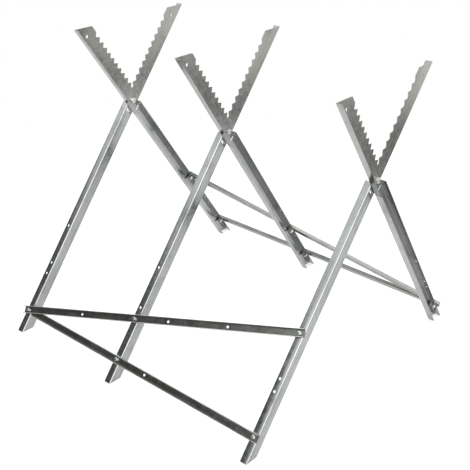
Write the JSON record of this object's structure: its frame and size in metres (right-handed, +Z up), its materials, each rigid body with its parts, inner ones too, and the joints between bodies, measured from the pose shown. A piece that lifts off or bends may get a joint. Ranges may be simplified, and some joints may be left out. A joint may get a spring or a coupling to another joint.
{
  "type": "folding sawhorse",
  "caption": "Folding steel log sawhorse: toothed crossed frames on one hinge line, tied front and rear by channel braces, standing open.",
  "frame": {"origin": "on the ground, under the middle of the whole sawhorse standing open", "axes": "+X along the log from the left frame to the right one, +Z up, the front side towards -Y"},
  "size_m": [0.8386, 0.8676, 0.7922],
  "materials": {
    "leg_steel": "galvanised sheet, satin, faint rolling streaks",
    "brace_steel": "galvanised sheet, satin, faint rolling streaks",
    "fastener_steel": "bright zinc plate"
  },
  "bodies": {
    "rear_frame": {"rear_leg_left": "leg_steel", "rear_leg_middle": "leg_steel", "rear_leg_right": "leg_steel", "rear_lower_brace": "brace_steel", "rear_upper_brace": "brace_steel", "rear_brace_bolt_1": "fastener_steel", "rear_brace_washer_1": "fastener_steel", "rear_brace_nut_1": "fastener_steel", "rear_brace_bolt_2": "fastener_steel", "rear_brace_washer_2": "fastener_steel", "rear_brace_nut_2": "fastener_steel", "rear_brace_bolt_3": "fastener_steel", "rear_brace_washer_3": "fastener_steel", "rear_brace_nut_3": "fastener_steel", "rear_brace_bolt_4": "fastener_steel", "rear_brace_washer_4": "fastener_steel", "rear_brace_nut_4": "fastener_steel", "rear_brace_bolt_5": "fastener_steel", "rear_brace_washer_5": "fastener_steel", "rear_brace_nut_5": "fastener_steel", "pivot_bolt_left": "fastener_steel", "pivot_head_washer_left": "fastener_steel", "pivot_washer_left": "fastener_steel", "pivot_nut_left": "fastener_steel", "pivot_bolt_middle": "fastener_steel", "pivot_head_washer_middle": "fastener_steel", "pivot_washer_middle": "fastener_steel", "pivot_nut_middle": "fastener_steel", "pivot_bolt_right": "fastener_steel", "pivot_head_washer_right": "fastener_steel", "pivot_washer_right": "fastener_steel", "pivot_nut_right": "fastener_steel"},
    "front_frame": {"front_leg_left": "leg_steel", "front_leg_middle": "leg_steel", "front_leg_right": "leg_steel", "front_lower_brace": "brace_steel", "front_upper_brace": "brace_steel", "front_brace_bolt_1": "fastener_steel", "front_brace_washer_1": "fastener_steel", "front_brace_nut_1": "fastener_steel", "front_brace_bolt_2": "fastener_steel", "front_brace_washer_2": "fastener_steel", "front_brace_nut_2": "fastener_steel", "front_brace_bolt_3": "fastener_steel", "front_brace_washer_3": "fastener_steel", "front_brace_nut_3": "fastener_steel", "front_brace_bolt_4": "fastener_steel", "front_brace_washer_4": "fastener_steel", "front_brace_nut_4": "fastener_steel", "front_brace_bolt_5": "fastener_steel", "front_brace_washer_5": "fastener_steel", "front_brace_nut_5": "fastener_steel"}
  },
  "joints": [
    {"name": "fold", "type": "hinge", "parent": "rear_frame", "child": "front_frame", "pos_m": [0, 0, 0.55905], "axis": [1, 0, 0], "range_deg": [0, 71]}
  ]
}
